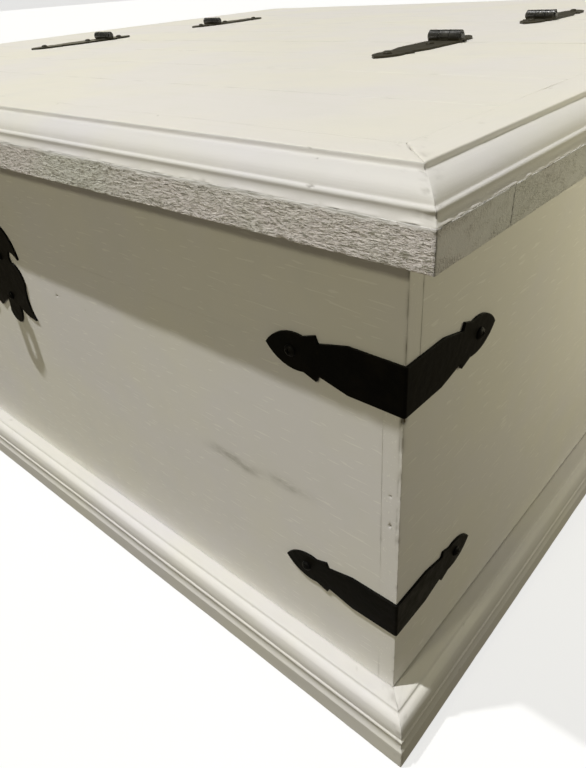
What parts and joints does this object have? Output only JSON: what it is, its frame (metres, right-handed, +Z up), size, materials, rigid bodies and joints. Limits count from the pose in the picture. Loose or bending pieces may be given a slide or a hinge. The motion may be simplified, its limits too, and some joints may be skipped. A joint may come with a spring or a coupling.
{
  "type": "storage trunk",
  "caption": "Low square painted pine trunk with a fixed centre board, a front and a back lid on iron strap hinges, corner brackets and hasps.",
  "frame": {"origin": "on the floor under the middle of the trunk", "axes": "+Z up, -Y towards the front, +X to the right; the seams and hinge axes lie along X"},
  "size_m": [1.0714, 1.085, 0.4713],
  "materials": {
    "painted_top": "off-white satin paint over pine, fine grain and small scratches",
    "painted_wall": "off-white satin paint over pine, slight grain",
    "painted_moulding": "white satin paint, smooth, worn at the arrises",
    "rough_pine": "off-white paint dragged over rough-sawn pine",
    "inner_pine": "bare planed pine",
    "black_iron": "satin black wax over wrought iron",
    "iron_screws": "satin black"
  },
  "bodies": {
    "trunk": {"back_hasp_eye": "black_iron", "back_hasp_plate": "black_iron", "back_left_hinge_leaf": "black_iron", "back_right_hinge_leaf": "black_iron", "back_wall_lower_board": "painted_wall", "back_wall_upper_board": "painted_wall", "base_moulding_back": "painted_moulding", "base_moulding_front": "painted_moulding", "base_moulding_left": "painted_moulding", "base_moulding_right": "painted_moulding", "body_screws": "iron_screws", "bottom_boards": "inner_pine", "bottom_cleats": "inner_pine", "centre_boards": "painted_top", "centre_moulding_left": "painted_moulding", "centre_moulding_right": "painted_moulding", "centre_rails": "inner_pine", "centre_rim_left": "rough_pine", "centre_rim_right": "rough_pine", "corner_brackets": "black_iron", "corner_posts": "inner_pine", "front_hasp_eye": "black_iron", "front_hasp_plate": "black_iron", "front_left_hinge_leaf": "black_iron", "front_right_hinge_leaf": "black_iron", "front_wall_lower_board": "painted_wall", "front_wall_upper_board": "painted_wall", "hinge_pins": "black_iron", "left_wall_lower_board": "painted_wall", "left_wall_upper_board": "painted_wall", "right_wall_lower_board": "painted_wall", "right_wall_upper_board": "painted_wall"},
    "front_lid": {"front_lid_battens": "inner_pine", "front_lid_boards": "painted_top", "front_lid_moulding_front": "painted_moulding", "front_lid_moulding_left": "painted_moulding", "front_lid_moulding_right": "painted_moulding", "front_lid_rim_front": "rough_pine", "front_lid_rim_left": "rough_pine", "front_lid_rim_right": "rough_pine", "front_lid_screws": "iron_screws", "front_left_hinge_strap": "black_iron", "front_right_hinge_strap": "black_iron", "front_hasp_leaf": "black_iron", "front_hasp_pin": "black_iron"},
    "back_lid": {"back_lid_battens": "inner_pine", "back_lid_boards": "painted_top", "back_lid_moulding_back": "painted_moulding", "back_lid_moulding_left": "painted_moulding", "back_lid_moulding_right": "painted_moulding", "back_lid_rim_back": "rough_pine", "back_lid_rim_left": "rough_pine", "back_lid_rim_right": "rough_pine", "back_lid_screws": "iron_screws", "back_left_hinge_strap": "black_iron", "back_right_hinge_strap": "black_iron", "back_hasp_leaf": "black_iron", "back_hasp_pin": "black_iron"},
    "front_hasp": {"front_hasp_strap": "black_iron"},
    "back_hasp": {"back_hasp_strap": "black_iron"}
  },
  "joints": [
    {"name": "front_lid_hinge", "type": "hinge", "parent": "trunk", "child": "front_lid", "pos_m": [0, -0.114, 0.4658], "axis": [-1, 0, 0], "range_deg": [0, 100]},
    {"name": "back_lid_hinge", "type": "hinge", "parent": "trunk", "child": "back_lid", "pos_m": [0, 0.114, 0.4658], "axis": [1, 0, 0], "range_deg": [0, 100]},
    {"name": "front_hasp_swing", "type": "hinge", "parent": "front_lid", "child": "front_hasp", "pos_m": [0, -0.5385, 0.416], "axis": [-1, 0, 0], "range_deg": [-18, 120]},
    {"name": "back_hasp_swing", "type": "hinge", "parent": "back_lid", "child": "back_hasp", "pos_m": [0, 0.5385, 0.416], "axis": [1, 0, 0], "range_deg": [-18, 120]}
  ]
}
